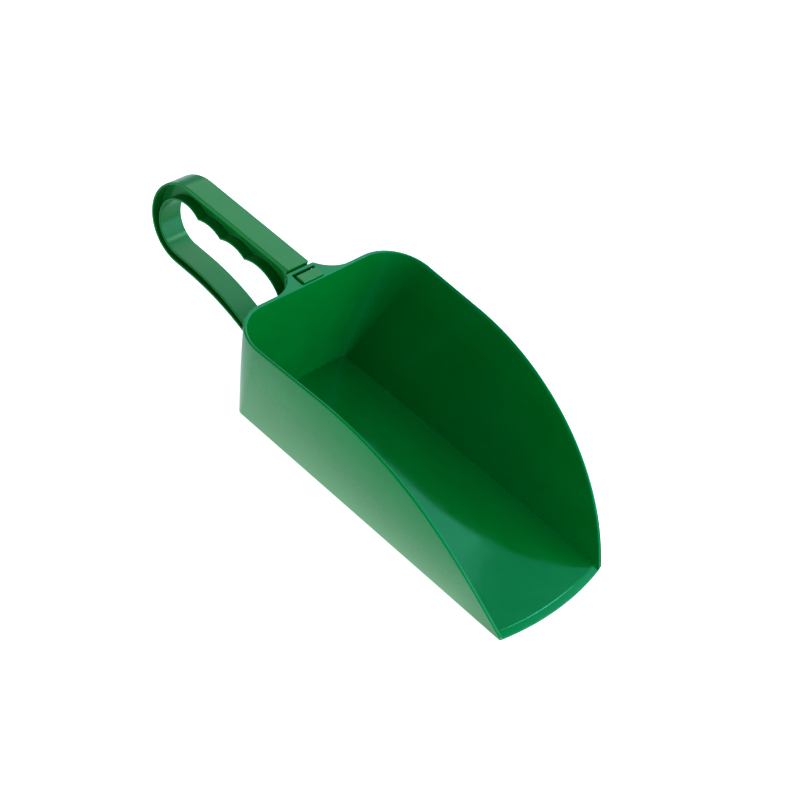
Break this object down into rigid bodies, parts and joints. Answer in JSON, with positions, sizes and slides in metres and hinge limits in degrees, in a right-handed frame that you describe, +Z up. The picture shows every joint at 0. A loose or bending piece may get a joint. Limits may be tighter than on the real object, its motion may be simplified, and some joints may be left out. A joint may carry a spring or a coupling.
{
  "type": "feed scoop",
  "caption": "Open-fronted feed scoop: flat-bottomed flared bowl with a curved scooping edge and a clip-on loop handle with finger grooves.",
  "frame": {"origin": "middle of the overall length and width, on the ground plane the floor of the bowl lies in", "axes": "+X toward the scooping edge, +Z up, away from the ground; +Y across the scoop; the handle points to -X"},
  "size_m": [0.3574, 0.149, 0.083],
  "materials": {
    "bowl_plastic": "glossy injection-moulded polypropylene, deep green",
    "handle_plastic": "glossy injection-moulded polypropylene, deep green"
  },
  "bodies": {
    "bowl": {"bowl": "bowl_plastic"},
    "handle": {"handle": "handle_plastic"},
    "latch": {"latch": "handle_plastic"}
  },
  "joints": [
    {"name": "handle_slide", "type": "slide", "parent": "bowl", "child": "handle", "axis": [0, 0, -1], "range_m": [0, 0.062], "deforming": ["latch"]},
    {"name": "latch_press", "type": "hinge", "parent": "handle", "child": "latch", "pos_m": [-0.0543, 0, 0.051], "axis": [0, -1, 0], "range_deg": [0, 5], "stiffness_Nm_per_rad": 0.73}
  ]
}
